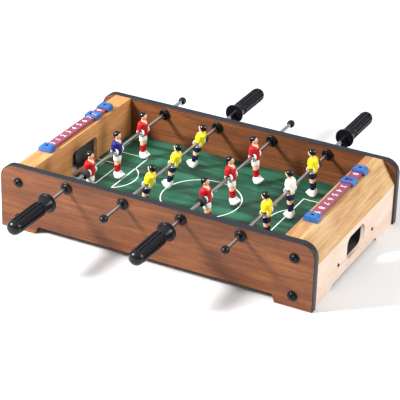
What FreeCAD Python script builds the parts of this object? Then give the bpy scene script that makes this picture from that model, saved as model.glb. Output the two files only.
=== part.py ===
import FreeCAD, Part
import os
import re
import Sketcher

# Tabletop football (foosball) game.
# X runs along the table from its left end to its right end, Y across it from the front
# panel to the back panel, Z up.  The origin is on the ground under the table's centre.
# All lengths are millimetres.

doc = FreeCAD.newDocument("TableFootball")
sheet = doc.addObject("Spreadsheet::Sheet", "Sizes")

SIZES = {
    # side panels and their edge bands
    "table_length": 510.0,
    "table_width": 310.0,
    "side_height": 104.0,
    "panel_thick": 12.0,
    "band_thick": 1.2,
    "edge_break": 1.0,
    "corner_radius": 22.0,
    "relief_height": 13.0,
    "relief_run": 5.0,
    "relief_radius": 4.0,
    "foot_length": 58.0,
    # end boxes: inner, top, slope and outer boards
    "end_depth": 52.0,
    "flat_width": 27.3,
    "end_setback": 2.8,
    "slope_foot": 67.0,
    "end_board": 6.0,
    "end_relief_height": 7.0,
    "end_foot_length": 58.0,
    "inner_board_skirt": 14.0,
    # playing field, which lies just under the figures' soles
    "sole_clearance": 4.0,
    "field_board": 3.0,
    "field_sheet": 0.5,
    "batten_width": 12.0,
    "batten_height": 10.0,
    # goals and ball chutes
    "goal_width": 74.0,
    "goal_tall": 40.0,
    "goal_radius": 9.0,
    "outlet_width": 64.0,
    "outlet_base": 21.0,
    "outlet_tall": 36.0,
    "outlet_radius": 12.0,
    "chute_wall": 3.0,
    "ear_reach": 30.0,
    "ear_base": 23.0,
    "ear_tall": 14.0,
    "chute_screw_reach": 22.0,
    "chute_screw_height": 30.0,
    "chute_screw_radius": 1.5,
    "chute_screw_head": 3.0,
    "chute_screw_crown": 1.8,
    "chute_screw_dome": 1.4,
    # bolts that hold the side panels to blocks in the end boxes
    "bolt_low": 19.0,
    "bolt_drop": 25.0,
    "bolt_radius": 2.5,
    "bolt_clearance": 0.1,
    "bolt_head_radius": 5.5,
    "bolt_head_tall": 3.0,
    "bolt_grip": 11.0,
    "socket_radius": 2.4,
    "socket_depth": 2.0,
    "washer_radius": 7.5,
    "washer_thick": 1.2,
    "insert_radius": 4.0,
    "insert_length": 13.0,
    "block_gap": 6.0,
    "block_clearance": 1.6,
    "block_depth": 18.0,
    "block_base": 9.0,
    "block_drop": 18.0,
    # rods and what they run in
    "rod_radius": 3.0,
    "rod_drop": 13.0,
    "rod_pitch": 94.0,
    "running_clearance": 0.08,
    "fixed_clearance": 0.05,
    "sleeve_radius": 6.0,
    "flange_radius": 9.0,
    "flange_thick": 4.0,
    "nut_radius": 8.8,
    "nut_thick": 4.0,
    # handles and end caps
    "handle_gap": 40.0,
    "handle_rim_radius": 14.5,
    "handle_rim_thick": 3.0,
    "neck_length": 20.0,
    "neck_radius": 9.5,
    "shoulder_length": 8.0,
    "grip_radius": 11.6,
    "grip_end_radius": 10.4,
    "grip_round": 5.0,
    "handle_length": 95.0,
    "flute_radius": 2.4,
    "flute_offset": 12.9,
    "rod_in_handle": 60.0,
    "cap_gap": 46.0,
    "cap_radius": 6.2,
    "cap_length": 12.0,
    "cap_dome": 4.0,
    "cap_crown": 4.7,
    "rod_in_cap": 7.0,
    "bumper_radius": 7.3,
    "bumper_length": 8.0,
    "bumper_gap": 0.3,
    # player figures, measured from the rod's axis
    "figure_pitch": 80.0,
    "head_top": 31.5,
    "chin": 19.5,
    "head_depth": 10.5,
    "head_lean": 1.0,
    "head_width": 9.5,
    "crown_drop": 3.0,
    "crown_inset": 2.0,
    "jaw_rise": 2.0,
    "neck_depth": 6.0,
    "neck_width": 6.5,
    "shoulder_top": 17.0,
    "shoulder_width": 25.0,
    "shoulder_fall": 4.0,
    "chest_depth": 13.5,
    "waist_width": 16.0,
    "waist_top": 5.0,
    "waist_flare": 4.0,
    "hem_drop": 16.0,
    "leg_depth": 8.0,
    "leg_width": 10.5,
    "shoe_top": 33.0,
    "toe_drop": 38.5,
    "sole_drop": 45.0,
    "toe_reach": 12.0,
    "sole_front": 6.0,
    "sole_back": 4.5,
    "heel_reach": 6.5,
    "heel_drop": 37.0,
    "shoe_width": 11.5,
    "hub_radius": 7.0,
    "hub_width": 21.0,
    # scorers on the end boxes
    "scorer_offset": 14.4,
    "scorer_reach": 93.0,
    "bracket_length": 15.5,
    "bracket_width": 22.0,
    "bracket_tall": 9.0,
    "bracket_round": 5.0,
    "bar_width": 16.0,
    "bar_stem_width": 10.0,
    "bar_stem_tall": 2.0,
    "bar_tall": 5.0,
    "bar_joint": 6.0,
    "slider_length": 18.0,
    "slider_wall": 2.0,
    "slider_clearance": 0.3,
    "window_width": 12.0,
    "window_length": 9.0,
    "left_slider_place": 49.0,
    "right_slider_place": 44.0,
    "score_screw_radius": 1.2,
    "score_screw_head": 2.2,
    "score_screw_sink": 1.0,
    "score_screw_length": 12.0,
    "score_screw_recess": 0.2,
}

FLUTES = 12
FIGURES_ON_A_ROD = 3
NEARLY = 0.01      # millimetres within which a face or an edge is taken to be at a place
PARALLEL = 1e-6    # how far the cosine of two directions may be from one


def fill_sheet():
    """Write every size as a plain number with its name as the cell's alias."""
    for row, (name, number) in enumerate(SIZES.items(), start=1):
        sheet.set("A%d" % row, name)
        sheet.set("B%d" % row, str(number))
        sheet.setAlias("B%d" % row, name)
    doc.recompute()


def on_sheet(expression):
    """Put the sheet's name before each size that an expression names."""
    return re.sub(r"[a-z]\w*", lambda word: "Sizes." + word[0] if word[0] in SIZES else word[0],
                  expression)


def value(expression):
    """The number that an expression on the sheet comes to."""
    return float(sheet.evalExpression(on_sheet(expression)))


def bind(thing, **expressions):
    """Bind properties of an object to expressions; Placement.Base is written x, y and z."""
    for name, expression in expressions.items():
        path = "Placement.Base." + name if name in ("x", "y", "z") else name
        thing.setExpression(path, on_sheet(expression))


def turn(thing, axis, degrees):
    """Turn an object about one of the world's axes through its own origin."""
    turned_by = FreeCAD.Rotation(FreeCAD.Vector(*axis), degrees)
    thing.Placement = FreeCAD.Placement(thing.Placement.Base, turned_by)


# ---------------------------------------------------------------- modelling steps

def new_body(label, allow_separate=False):
    """A PartDesign body whose label names its file."""
    body = doc.addObject("PartDesign::Body", label)
    body.Label = label
    body.AllowCompound = allow_separate
    return body


def new_sketch(body, plane, name, offset=None):
    """A sketch on one of the body's own origin planes, moved along the plane's normal by offset."""
    sketch = body.newObject("Sketcher::SketchObject", body.Name + "_" + name)
    origin_plane = [feature for feature in body.Origin.OriginFeatures if feature.Role == plane][0]
    sketch.AttachmentSupport = [(origin_plane, "")]
    sketch.MapMode = "FlatFace"
    if offset:
        sketch.setExpression("AttachmentOffset.Base.z", on_sheet(offset))
    return sketch


def place_point(sketch, geometry, point, x, y):
    """Hold a point of the sketch at the two expressions x and y from its origin."""
    for kind, expression in (("DistanceX", x), ("DistanceY", y)):
        number = value(expression)
        index = sketch.addConstraint(Sketcher.Constraint(kind, -1, 1, geometry, point, number))
        sketch.setExpression("Constraints[%d]" % index, on_sheet(expression))


def outline(sketch, corners):
    """A closed polygon whose corners are pairs of expressions."""
    spots = [FreeCAD.Vector(value(x), value(y), 0) for x, y in corners]
    first = sketch.GeometryCount
    count = len(spots)
    for i in range(count):
        sketch.addGeometry(Part.LineSegment(spots[i], spots[(i + 1) % count]), False)
    for i in range(count):
        after = first + (i + 1) % count
        sketch.addConstraint(Sketcher.Constraint("Coincident", first + i, 2, after, 1))
        place_point(sketch, first + i, 1, *corners[i])


def rectangle(sketch, low_x, high_x, low_y, high_y):
    """A rectangle between four expressions."""
    outline(sketch, [(low_x, low_y), (high_x, low_y), (high_x, high_y), (low_x, high_y)])


def circle(sketch, x, y, radius):
    """A circle whose centre and radius are expressions."""
    centre = FreeCAD.Vector(value(x), value(y), 0)
    geometry = sketch.addGeometry(Part.Circle(centre, FreeCAD.Vector(0, 0, 1), value(radius)), False)
    place_point(sketch, geometry, 3, x, y)
    index = sketch.addConstraint(Sketcher.Constraint("Radius", geometry, value(radius)))
    sketch.setExpression("Constraints[%d]" % index, on_sheet(radius))


def pad(body, sketch, length, both_ways=False, backwards=False):
    """Add the sketch's area, pushed along its normal or half each way."""
    feature = body.newObject("PartDesign::Pad", sketch.Name + "_pad")
    feature.Profile = sketch
    feature.Midplane = both_ways
    feature.Reversed = backwards
    bind(feature, Length=length)
    return finished(body, feature, larger=True)


def cut_through(body, sketch):
    """Cut the sketch's area right through, both ways from its plane."""
    feature = body.newObject("PartDesign::Pocket", sketch.Name + "_cut")
    feature.Profile = sketch
    feature.Type = "ThroughAll"
    feature.Midplane = True
    return finished(body, feature, larger=False)


def cut_into(body, sketch, length, backwards=False, both_ways=False):
    """Cut the sketch's area to a depth."""
    feature = body.newObject("PartDesign::Pocket", sketch.Name + "_cut")
    feature.Profile = sketch
    feature.Type = "Length"
    feature.Reversed = backwards
    feature.Midplane = both_ways
    bind(feature, Length=length)
    return finished(body, feature, larger=False)


def revolve(body, sketch, axis="V_Axis"):
    """Turn the sketch's area once round one of its axes."""
    feature = body.newObject("PartDesign::Revolution", sketch.Name + "_turned")
    feature.Profile = sketch
    feature.ReferenceAxis = (sketch, [axis])
    feature.Angle = 360.0
    return finished(body, feature, larger=True)


def finished(body, feature, larger):
    """Recompute, and check that the feature added or removed material as it should."""
    before = body.Shape.Volume if feature.BaseFeature else 0.0
    body.Tip = feature
    doc.recompute()
    grew = body.Shape.Volume > before
    if grew != larger:
        raise RuntimeError(feature.Name + " didn't change the solid as it should")
    return feature


def round_edges(body, name, radius, chosen):
    """Fillet the edges that the test picks by their place."""
    base = body.Tip
    edges = ["Edge%d" % (i + 1) for i, edge in enumerate(base.Shape.Edges) if chosen(edge)]
    feature = body.newObject("PartDesign::Fillet", body.Name + "_" + name)
    feature.Base = (base, edges)
    bind(feature, Radius=radius)
    body.Tip = feature
    doc.recompute()
    return feature


def runs_along(edge, axis):
    """True when an edge is straight and parallel to the axis."""
    if len(edge.Vertexes) != 2 or not isinstance(edge.Curve, Part.Line):
        return False
    along = edge.Vertexes[1].Point - edge.Vertexes[0].Point
    return abs(abs(along.normalize().dot(FreeCAD.Vector(*axis))) - 1.0) < PARALLEL


def box(label, x, y, z):
    """A Part box between three pairs of expressions."""
    piece = doc.addObject("Part::Box", label)
    piece.Label = label
    bind(piece, Length="(%s) - (%s)" % (x[1], x[0]), x=x[0])
    bind(piece, Width="(%s) - (%s)" % (y[1], y[0]), y=y[0])
    bind(piece, Height="(%s) - (%s)" % (z[1], z[0]), z=z[0])
    return piece


def group(label, pieces):
    """One sub-part made of several separate solids."""
    together = doc.addObject("Part::Compound", label)
    together.Label = label
    together.Links = pieces
    return together


def copies(label, master, placements):
    """One sub-part that is the same solid set in several places."""
    doc.recompute()
    solid = master.Shape.copy()
    solid.Placement = FreeCAD.Placement()
    solids = []
    for placement in placements:
        copy = solid.copy()
        copy.Placement = placement.multiply(solid.Placement)
        solids.append(copy)
    together = doc.addObject("Part::Feature", label)
    together.Label = label
    together.Shape = Part.makeCompound(solids)
    return together


def at(x, y, z, axis=(0, 0, 1), degrees=0.0):
    """A placement from three expressions and a turn."""
    spot = FreeCAD.Vector(value(x), value(y), value(z))
    return FreeCAD.Placement(spot, FreeCAD.Rotation(FreeCAD.Vector(*axis), degrees))


ENDS = {"left": 180.0, "right": 0.0}
SIDES = {"front": -1, "back": 1}
ROD_SPOTS = ["(%s) * rod_pitch" % place for place in (-1.5, -0.5, 0.5, 1.5)]
ROD_HEIGHT = "(side_height - rod_drop)"
FIELD_TOP = "(side_height - rod_drop - sole_drop - sole_clearance)"
sub_parts = []


def keep(piece):
    """List a finished sub-part, so that it is checked and written."""
    sub_parts.append(piece)
    return piece


# ---------------------------------------------------------------- side panels

INNER_FACE = "table_width / 2 - panel_thick"
INNER_END = "table_length / 2 - end_depth"
OUTER_FACE = "table_length / 2 - end_setback"
FLAT_END = "%s + flat_width" % INNER_END
SLOPE_TURN = "atan((end_depth - flat_width - end_setback) / (side_height - slope_foot))"
TOP_MITRE = ("%s - end_board * cos(%s) / (1 + sin(%s))" % (FLAT_END, SLOPE_TURN, SLOPE_TURN),
             "side_height - end_board")
FOOT_MITRE = ("%s - end_board" % OUTER_FACE,
              "slope_foot - end_board * sin(%s) / (1 + cos(%s))" % (SLOPE_TURN, SLOPE_TURN))

# the blocks that the bolts hold stand between the inner board and the slope
BLOCK_NEAR = "(%s + end_board + block_gap)" % INNER_END
BLOCK_FAR = "(%s + (block_drop - end_board - block_clearance) * tan(%s))" % (TOP_MITRE[0], SLOPE_TURN)
BOLT_X = "(%s + %s) / 2" % (BLOCK_NEAR, BLOCK_FAR)
BOLT_SPOTS = [(side + "(%s)" % BOLT_X, height)
              for side in ("-", "") for height in ("bolt_low", "side_height - bolt_drop")]


def relief(half_length, height, run):
    """The four corners of the gap between two feet, from right to left."""
    return [(half_length, "0"), ("%s - %s" % (half_length, run), height),
            ("-(%s - %s)" % (half_length, run), height), ("-(%s)" % half_length, "0")]


def side_panel(name, sign):
    """A laminated board on two feet, drilled for four rods and four bolts."""
    body = new_body("side_panel_" + name)
    sketch = new_sketch(body, "XZ_Plane", "outline")
    half = "table_length / 2 - band_thick"
    top = "side_height - band_thick"
    outline(sketch, [("-(%s)" % half, "0"), ("-(%s)" % half, top), (half, top), (half, "0")]
            + relief("(table_length / 2 - foot_length)", "relief_height", "relief_run"))
    pad(body, sketch, "panel_thick", both_ways=True)
    round_edges(body, "corners", "corner_radius - band_thick",
                lambda edge: runs_along(edge, (0, 1, 0)) and edge.CenterOfMass.z > value(top) - NEARLY)
    round_edges(body, "relief", "relief_radius",
                lambda edge: runs_along(edge, (0, 1, 0))
                and abs(edge.CenterOfMass.z - value("relief_height")) < NEARLY)
    holes = new_sketch(body, "XZ_Plane", "holes")
    for spot in ROD_SPOTS:
        circle(holes, spot, ROD_HEIGHT, "sleeve_radius + fixed_clearance")
    for x, z in BOLT_SPOTS:
        circle(holes, x, z, "bolt_radius + bolt_clearance")
    cut_through(body, holes)
    bind(body, y="%d * (table_width / 2 - panel_thick / 2)" % sign)
    return keep(body)


def edge_band(name, sign):
    """The strip glued over a panel's ends, round its corners and along its top."""
    body = new_body("edge_band_" + name)
    sketch = new_sketch(body, "XZ_Plane", "outline")
    outer = "table_length / 2"
    inner = "(table_length / 2 - band_thick)"
    outline(sketch, [("-" + outer, "0"), ("-" + outer, "side_height"), (outer, "side_height"), (outer, "0"),
                     (inner, "0"), (inner, "side_height - band_thick"),
                     ("-" + inner, "side_height - band_thick"), ("-" + inner, "0")])
    pad(body, sketch, "panel_thick", both_ways=True)
    for level, radius in (("side_height", "corner_radius"),
                          ("side_height - band_thick", "corner_radius - band_thick")):
        round_edges(body, "round", radius, lambda edge: runs_along(edge, (0, 1, 0))
                    and abs(edge.CenterOfMass.z - value(level)) < NEARLY
                    and abs(edge.CenterOfMass.x) > value(inner) - NEARLY)
    bind(body, y="%d * (table_width / 2 - panel_thick / 2)" % sign)
    return keep(body)


# ---------------------------------------------------------------- playing field

def playing_field():
    """A thin board with a printed sheet, on two battens along the panels."""
    across = ("-(%s)" % INNER_FACE, INNER_FACE)
    along = ("-(%s)" % INNER_END, INNER_END)
    sheet_base = "%s - field_sheet" % FIELD_TOP
    board_base = "%s - field_sheet - field_board" % FIELD_TOP
    keep(box("field_sheet", along, across, (sheet_base, FIELD_TOP)))
    keep(box("field_board", along, across, (board_base, sheet_base)))
    battens = []
    for name, sides in (("front", ("-(%s)" % INNER_FACE, "-(%s - batten_width)" % INNER_FACE)),
                        ("back", ("%s - batten_width" % INNER_FACE, INNER_FACE))):
        battens.append(box("batten_" + name, along, sides, ("%s - batten_height" % board_base, board_base)))
    keep(group("field_battens", battens))


# ---------------------------------------------------------------- end boxes

WIDTH_INSIDE = "table_width - 2 * panel_thick"
SCORER_X = "%s + scorer_offset" % INNER_END
SCREW_Y = "scorer_reach - bracket_length / 2"
CHUTE_SCREW_Y = "(goal_width / 2 + chute_wall + chute_screw_reach)"


def inner_board(name, degrees):
    """The upright board between field and end box, with the goal's opening."""
    body = new_body("inner_board_" + name)
    sketch = new_sketch(body, "YZ_Plane", "outline", INNER_END)
    rectangle(sketch, "-(%s)" % INNER_FACE, INNER_FACE,
              "%s - inner_board_skirt" % FIELD_TOP, "side_height - end_board")
    pad(body, sketch, "end_board")
    goal = new_sketch(body, "YZ_Plane", "goal")
    goal_top = "%s + goal_tall" % FIELD_TOP
    rectangle(goal, "-goal_width / 2", "goal_width / 2", FIELD_TOP, goal_top)
    cut_through(body, goal)
    round_edges(body, "goal_corners", "goal_radius",
                lambda edge: runs_along(edge, (1, 0, 0))
                and abs(edge.CenterOfMass.z - value(goal_top)) < NEARLY)
    turn(body, (0, 0, 1), degrees)
    return keep(body)


def end_profile(label, corners, degrees):
    """A board of an end box, as long as the space between the side panels."""
    body = new_body(label)
    sketch = new_sketch(body, "XZ_Plane", "profile")
    outline(sketch, corners)
    pad(body, sketch, WIDTH_INSIDE, both_ways=True)
    turn(body, (0, 0, 1), degrees)
    return body


def top_board(name, degrees):
    """The flat top that carries the scorer, mitred to the slope."""
    body = end_profile("top_board_" + name, [
        (INNER_END, "side_height - end_board"), (INNER_END, "side_height"),
        (FLAT_END, "side_height"), TOP_MITRE], degrees)
    holes = new_sketch(body, "XY_Plane", "screw_holes")
    for side in ("-", ""):
        circle(holes, SCORER_X, "%s(%s)" % (side, SCREW_Y), "score_screw_radius")
    cut_through(body, holes)
    return keep(body)


def slope_board(name, degrees):
    """The board that slopes down from the flat top to the outer board."""
    return keep(end_profile("slope_board_" + name, [
        TOP_MITRE, (FLAT_END, "side_height"), (OUTER_FACE, "slope_foot"), FOOT_MITRE], degrees))


def outer_board(name, degrees):
    """The end's outside, on two feet, with the hole where the ball is taken out."""
    body = end_profile("outer_board_" + name, [
        (OUTER_FACE, "0"), (OUTER_FACE, "slope_foot"), FOOT_MITRE,
        ("%s - end_board" % OUTER_FACE, "0")], degrees)
    outlet = new_sketch(body, "YZ_Plane", "outlet")
    outlet_top = "outlet_base + outlet_tall"
    rectangle(outlet, "-outlet_width / 2", "outlet_width / 2", "outlet_base", outlet_top)
    cut_through(body, outlet)
    round_edges(body, "outlet_corners", "outlet_radius",
                lambda edge: runs_along(edge, (1, 0, 0))
                and abs(abs(edge.CenterOfMass.y) - value("outlet_width / 2")) < NEARLY)
    gap = new_sketch(body, "YZ_Plane", "relief")
    outline(gap, relief("(%s - end_foot_length)" % INNER_FACE, "end_relief_height", "relief_run"))
    cut_through(body, gap)
    holes = new_sketch(body, "YZ_Plane", "screw_holes")
    for side in ("-", ""):
        circle(holes, side + CHUTE_SCREW_Y, "chute_screw_height", "chute_screw_radius + fixed_clearance")
    cut_through(body, holes)
    return keep(body)


def goal_chute(name, degrees):
    """A moulded tube that carries the ball from the goal down to the outlet, with two screw ears."""
    body = new_body("goal_chute_" + name)
    start = "%s + end_board" % INNER_END
    stop = "%s - end_board" % OUTER_FACE
    half_inside = "goal_width / 2"
    half_outside = "goal_width / 2 + chute_wall"
    ears = new_sketch(body, "YZ_Plane", "ears", "%s - chute_wall" % stop)
    rectangle(ears, "-(%s + ear_reach)" % half_outside, "%s + ear_reach" % half_outside,
              "ear_base", "ear_base + ear_tall")
    pad(body, ears, "chute_wall")
    tube = new_sketch(body, "XZ_Plane", "tube")
    outline(tube, [(start, "%s - chute_wall" % FIELD_TOP),
                   (start, "%s + goal_tall + chute_wall" % FIELD_TOP),
                   (stop, "outlet_base + outlet_tall + chute_wall"),
                   (stop, "outlet_base - chute_wall")])
    pad(body, tube, "2 * (%s)" % half_outside, both_ways=True)
    channel = new_sketch(body, "XZ_Plane", "channel")
    outline(channel, [(start, FIELD_TOP), (start, "%s + goal_tall" % FIELD_TOP),
                      (stop, "outlet_base + outlet_tall"), (stop, "outlet_base")])
    cut_into(body, channel, "2 * (%s)" % half_inside, both_ways=True)
    holes = new_sketch(body, "YZ_Plane", "screw_holes")
    for side in ("-", ""):
        circle(holes, side + CHUTE_SCREW_Y, "chute_screw_height", "chute_screw_radius")
    cut_through(body, holes)
    turn(body, (0, 0, 1), degrees)
    return keep(body)


def corner_blocks():
    """Four wooden blocks inside the end boxes, drilled for the bolts' inserts."""
    body = new_body("corner_blocks", allow_separate=True)
    plan = new_sketch(body, "XY_Plane", "plan", "block_base")
    outside = "(%s)" % INNER_FACE
    inside = "(%s - block_depth)" % INNER_FACE
    for x in ("", "-"):
        for y in ("", "-"):
            outline(plan, [(x + BLOCK_NEAR, y + inside), (x + BLOCK_FAR, y + inside),
                           (x + BLOCK_FAR, y + outside), (x + BLOCK_NEAR, y + outside)])
    pad(body, plan, "side_height - block_drop - block_base")
    holes = new_sketch(body, "XZ_Plane", "holes")
    for x, z in BOLT_SPOTS:
        circle(holes, x, z, "insert_radius")
    cut_through(body, holes)
    return keep(body)


# ---------------------------------------------------------------- fasteners

def turned(label, corners):
    """A body of revolution about its own Z, from a half outline of (radius, height) pairs."""
    body = new_body(label)
    sketch = new_sketch(body, "XZ_Plane", "half")
    outline(sketch, corners)
    revolve(body, sketch)
    return body


def panel_spots(out):
    """A placement at each bolt of both panels; own Z points out of the panel."""
    spots = []
    for sign, degrees in ((-1, 90.0), (1, -90.0)):
        for x, z in BOLT_SPOTS:
            spots.append(at(x, "%d * (%s)" % (sign, out), z, (1, 0, 0), degrees))
    return spots


def bolts_and_washers():
    """Button-headed socket bolts, flat washers and the brass inserts that they screw into."""
    shank = "-(panel_thick + bolt_grip + washer_thick)"
    bolt = turned("bolt", [("0", shank), ("bolt_radius", shank), ("bolt_radius", "0"),
                           ("bolt_head_radius", "0"), ("bolt_head_radius", "bolt_head_tall - edge_break"),
                           ("bolt_head_radius - edge_break", "bolt_head_tall"), ("0", "bolt_head_tall")])
    socket = new_sketch(bolt, "XY_Plane", "socket", "bolt_head_tall")
    outline(socket, [("socket_radius * cos(%d deg)" % degrees, "socket_radius * sin(%d deg)" % degrees)
                     for degrees in range(0, 360, 60)])
    cut_into(bolt, socket, "socket_depth")
    keep(copies("panel_bolts", bolt, panel_spots("table_width / 2 + washer_thick")))

    loose_bore = "bolt_radius + bolt_clearance"
    washer = turned("washer", [(loose_bore, "0"), ("washer_radius", "0"),
                               ("washer_radius", "washer_thick"), (loose_bore, "washer_thick")])
    keep(copies("bolt_washers", washer, panel_spots("table_width / 2")))

    thread = "bolt_radius + fixed_clearance"
    insert = turned("insert", [(thread, "-insert_length"), ("insert_radius", "-insert_length"),
                               ("insert_radius", "0"), (thread, "0")])
    keep(copies("threaded_inserts", insert, panel_spots(INNER_FACE)))


def chute_screws():
    """Small domed screws through the outer boards into the chutes' ears."""
    reach = "-(end_board + chute_wall)"
    screw = turned("chute_screw", [("0", reach), ("chute_screw_radius", reach), ("chute_screw_radius", "0"),
                                   ("chute_screw_head", "0"), ("chute_screw_crown", "chute_screw_dome"),
                                   ("0", "chute_screw_dome")])
    spots = []
    for sign in (1, -1):
        for side in ("-", ""):
            spots.append(at("%d * (%s)" % (sign, OUTER_FACE), side + CHUTE_SCREW_Y,
                            "chute_screw_height", (0, 1, 0), 90.0 * sign))
    keep(copies("chute_screws", screw, spots))


# ---------------------------------------------------------------- rod bearings

def rod_bearings():
    """A flanged sleeve in each rod hole, pushed in from outside, and a ring that holds it inside."""
    bore = "rod_radius + running_clearance"
    inner = "-(panel_thick + nut_thick)"
    sleeve = turned("sleeve", [(bore, inner), ("sleeve_radius", inner), ("sleeve_radius", "0"),
                              ("flange_radius", "0"), ("flange_radius", "flange_thick - edge_break"),
                              ("flange_radius - edge_break", "flange_thick"), (bore, "flange_thick")])
    ring = turned("ring", [("sleeve_radius + fixed_clearance", "-nut_thick"),
                           ("nut_radius - edge_break", "-nut_thick"),
                           ("nut_radius", "-(nut_thick - edge_break)"), ("nut_radius", "0"),
                           ("sleeve_radius + fixed_clearance", "0")])
    outside = []
    inside = []
    for sign, degrees in ((-1, 90.0), (1, -90.0)):
        for spot in ROD_SPOTS:
            outside.append(at(spot, "%d * table_width / 2" % sign, ROD_HEIGHT, (1, 0, 0), degrees))
            inside.append(at(spot, "%d * (%s)" % (sign, INNER_FACE), ROD_HEIGHT, (1, 0, 0), degrees))
    keep(copies("rod_sleeves", sleeve, outside))
    keep(copies("sleeve_rings", ring, inside))


# ---------------------------------------------------------------- rods

HANDLE_FACE = "table_width / 2 + flange_thick + handle_gap"
CAP_FACE = "table_width / 2 + flange_thick + cap_gap"


def set_on_rod(piece, number, handle_side, shift, along):
    """Lay a piece whose own Z is its axis on a rod, at a place towards the cap from the centre."""
    spot = ROD_SPOTS[number - 1]
    towards_cap = -handle_side
    turn(piece, (1, 0, 0), -90.0 * towards_cap)
    bind(piece, x=spot, y="%d * (%s) + %g" % (towards_cap, along, shift), z=ROD_HEIGHT)
    return piece


def steel_rod(number, handle_side, shift):
    """A plain round bar that runs through both panels into its handle and its end cap."""
    rod = doc.addObject("Part::Cylinder", "rod_%d" % number)
    rod.Label = "rod_%d" % number
    bind(rod, Radius="rod_radius", Height="%s + rod_in_handle + %s + rod_in_cap" % (HANDLE_FACE, CAP_FACE))
    set_on_rod(rod, number, handle_side, shift, "-(%s + rod_in_handle)" % HANDLE_FACE)
    return keep(rod)


def handle(number, handle_side, shift):
    """A turned grip with a rim towards the table, a waisted neck and flutes along it."""
    body = new_body("handle_%d" % number)
    sketch = new_sketch(body, "XZ_Plane", "half")
    bore = "rod_radius + fixed_clearance"
    outline(sketch, [(bore, "0"), ("handle_rim_radius", "0"), ("handle_rim_radius", "-handle_rim_thick"),
                     ("neck_radius", "-neck_length"), ("grip_radius", "-(neck_length + shoulder_length)"),
                     ("grip_end_radius", "-(handle_length - grip_round)"),
                     ("grip_end_radius - grip_round", "-handle_length"), ("0", "-handle_length"),
                     ("0", "-rod_in_handle"), (bore, "-rod_in_handle")])
    revolve(body, sketch)
    flute = new_sketch(body, "XY_Plane", "flute", "-(neck_length + shoulder_length)")
    circle(flute, "flute_offset", "0", "flute_radius")
    groove = cut_into(body, flute, "handle_length")
    pattern = body.newObject("PartDesign::PolarPattern", body.Name + "_flutes")
    pattern.Originals = [groove]
    pattern.Axis = (sketch, ["V_Axis"])
    pattern.Angle = 360.0
    pattern.Occurrences = FLUTES
    body.Tip = pattern
    set_on_rod(body, number, handle_side, shift, "-(%s)" % HANDLE_FACE)
    return keep(body)


def end_cap(number, handle_side, shift):
    """A domed cap pressed on the rod's plain end."""
    body = turned("end_cap_%d" % number, [
        ("rod_radius + fixed_clearance", "0"), ("cap_radius - edge_break", "0"),
        ("cap_radius", "edge_break"), ("cap_radius", "cap_length - cap_dome"),
        ("cap_crown", "cap_length - edge_break"), ("0", "cap_length"),
        ("0", "rod_in_cap"), ("rod_radius + fixed_clearance", "rod_in_cap")])
    set_on_rod(body, number, handle_side, shift, CAP_FACE)
    return keep(body)


def bumper(number, handle_side, shift):
    """A loose rubber ring between the outer figure and the panel, on the handle's side."""
    bore = "rod_radius + running_clearance"
    body = turned("bumper_%d" % number, [
        (bore, "0"), ("bumper_radius - edge_break", "0"), ("bumper_radius", "edge_break"),
        ("bumper_radius", "bumper_length - edge_break"), ("bumper_radius - edge_break", "bumper_length"),
        (bore, "bumper_length")])
    set_on_rod(body, number, handle_side, shift,
               "-(figure_pitch + hub_width / 2 + bumper_gap + bumper_length)")
    return keep(body)


def half_outline(corners):
    """A closed outline symmetric about the vertical, from its right half."""
    left = [("-(%s)" % x, y) for x, y in reversed(corners)]
    return corners + left


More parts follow.
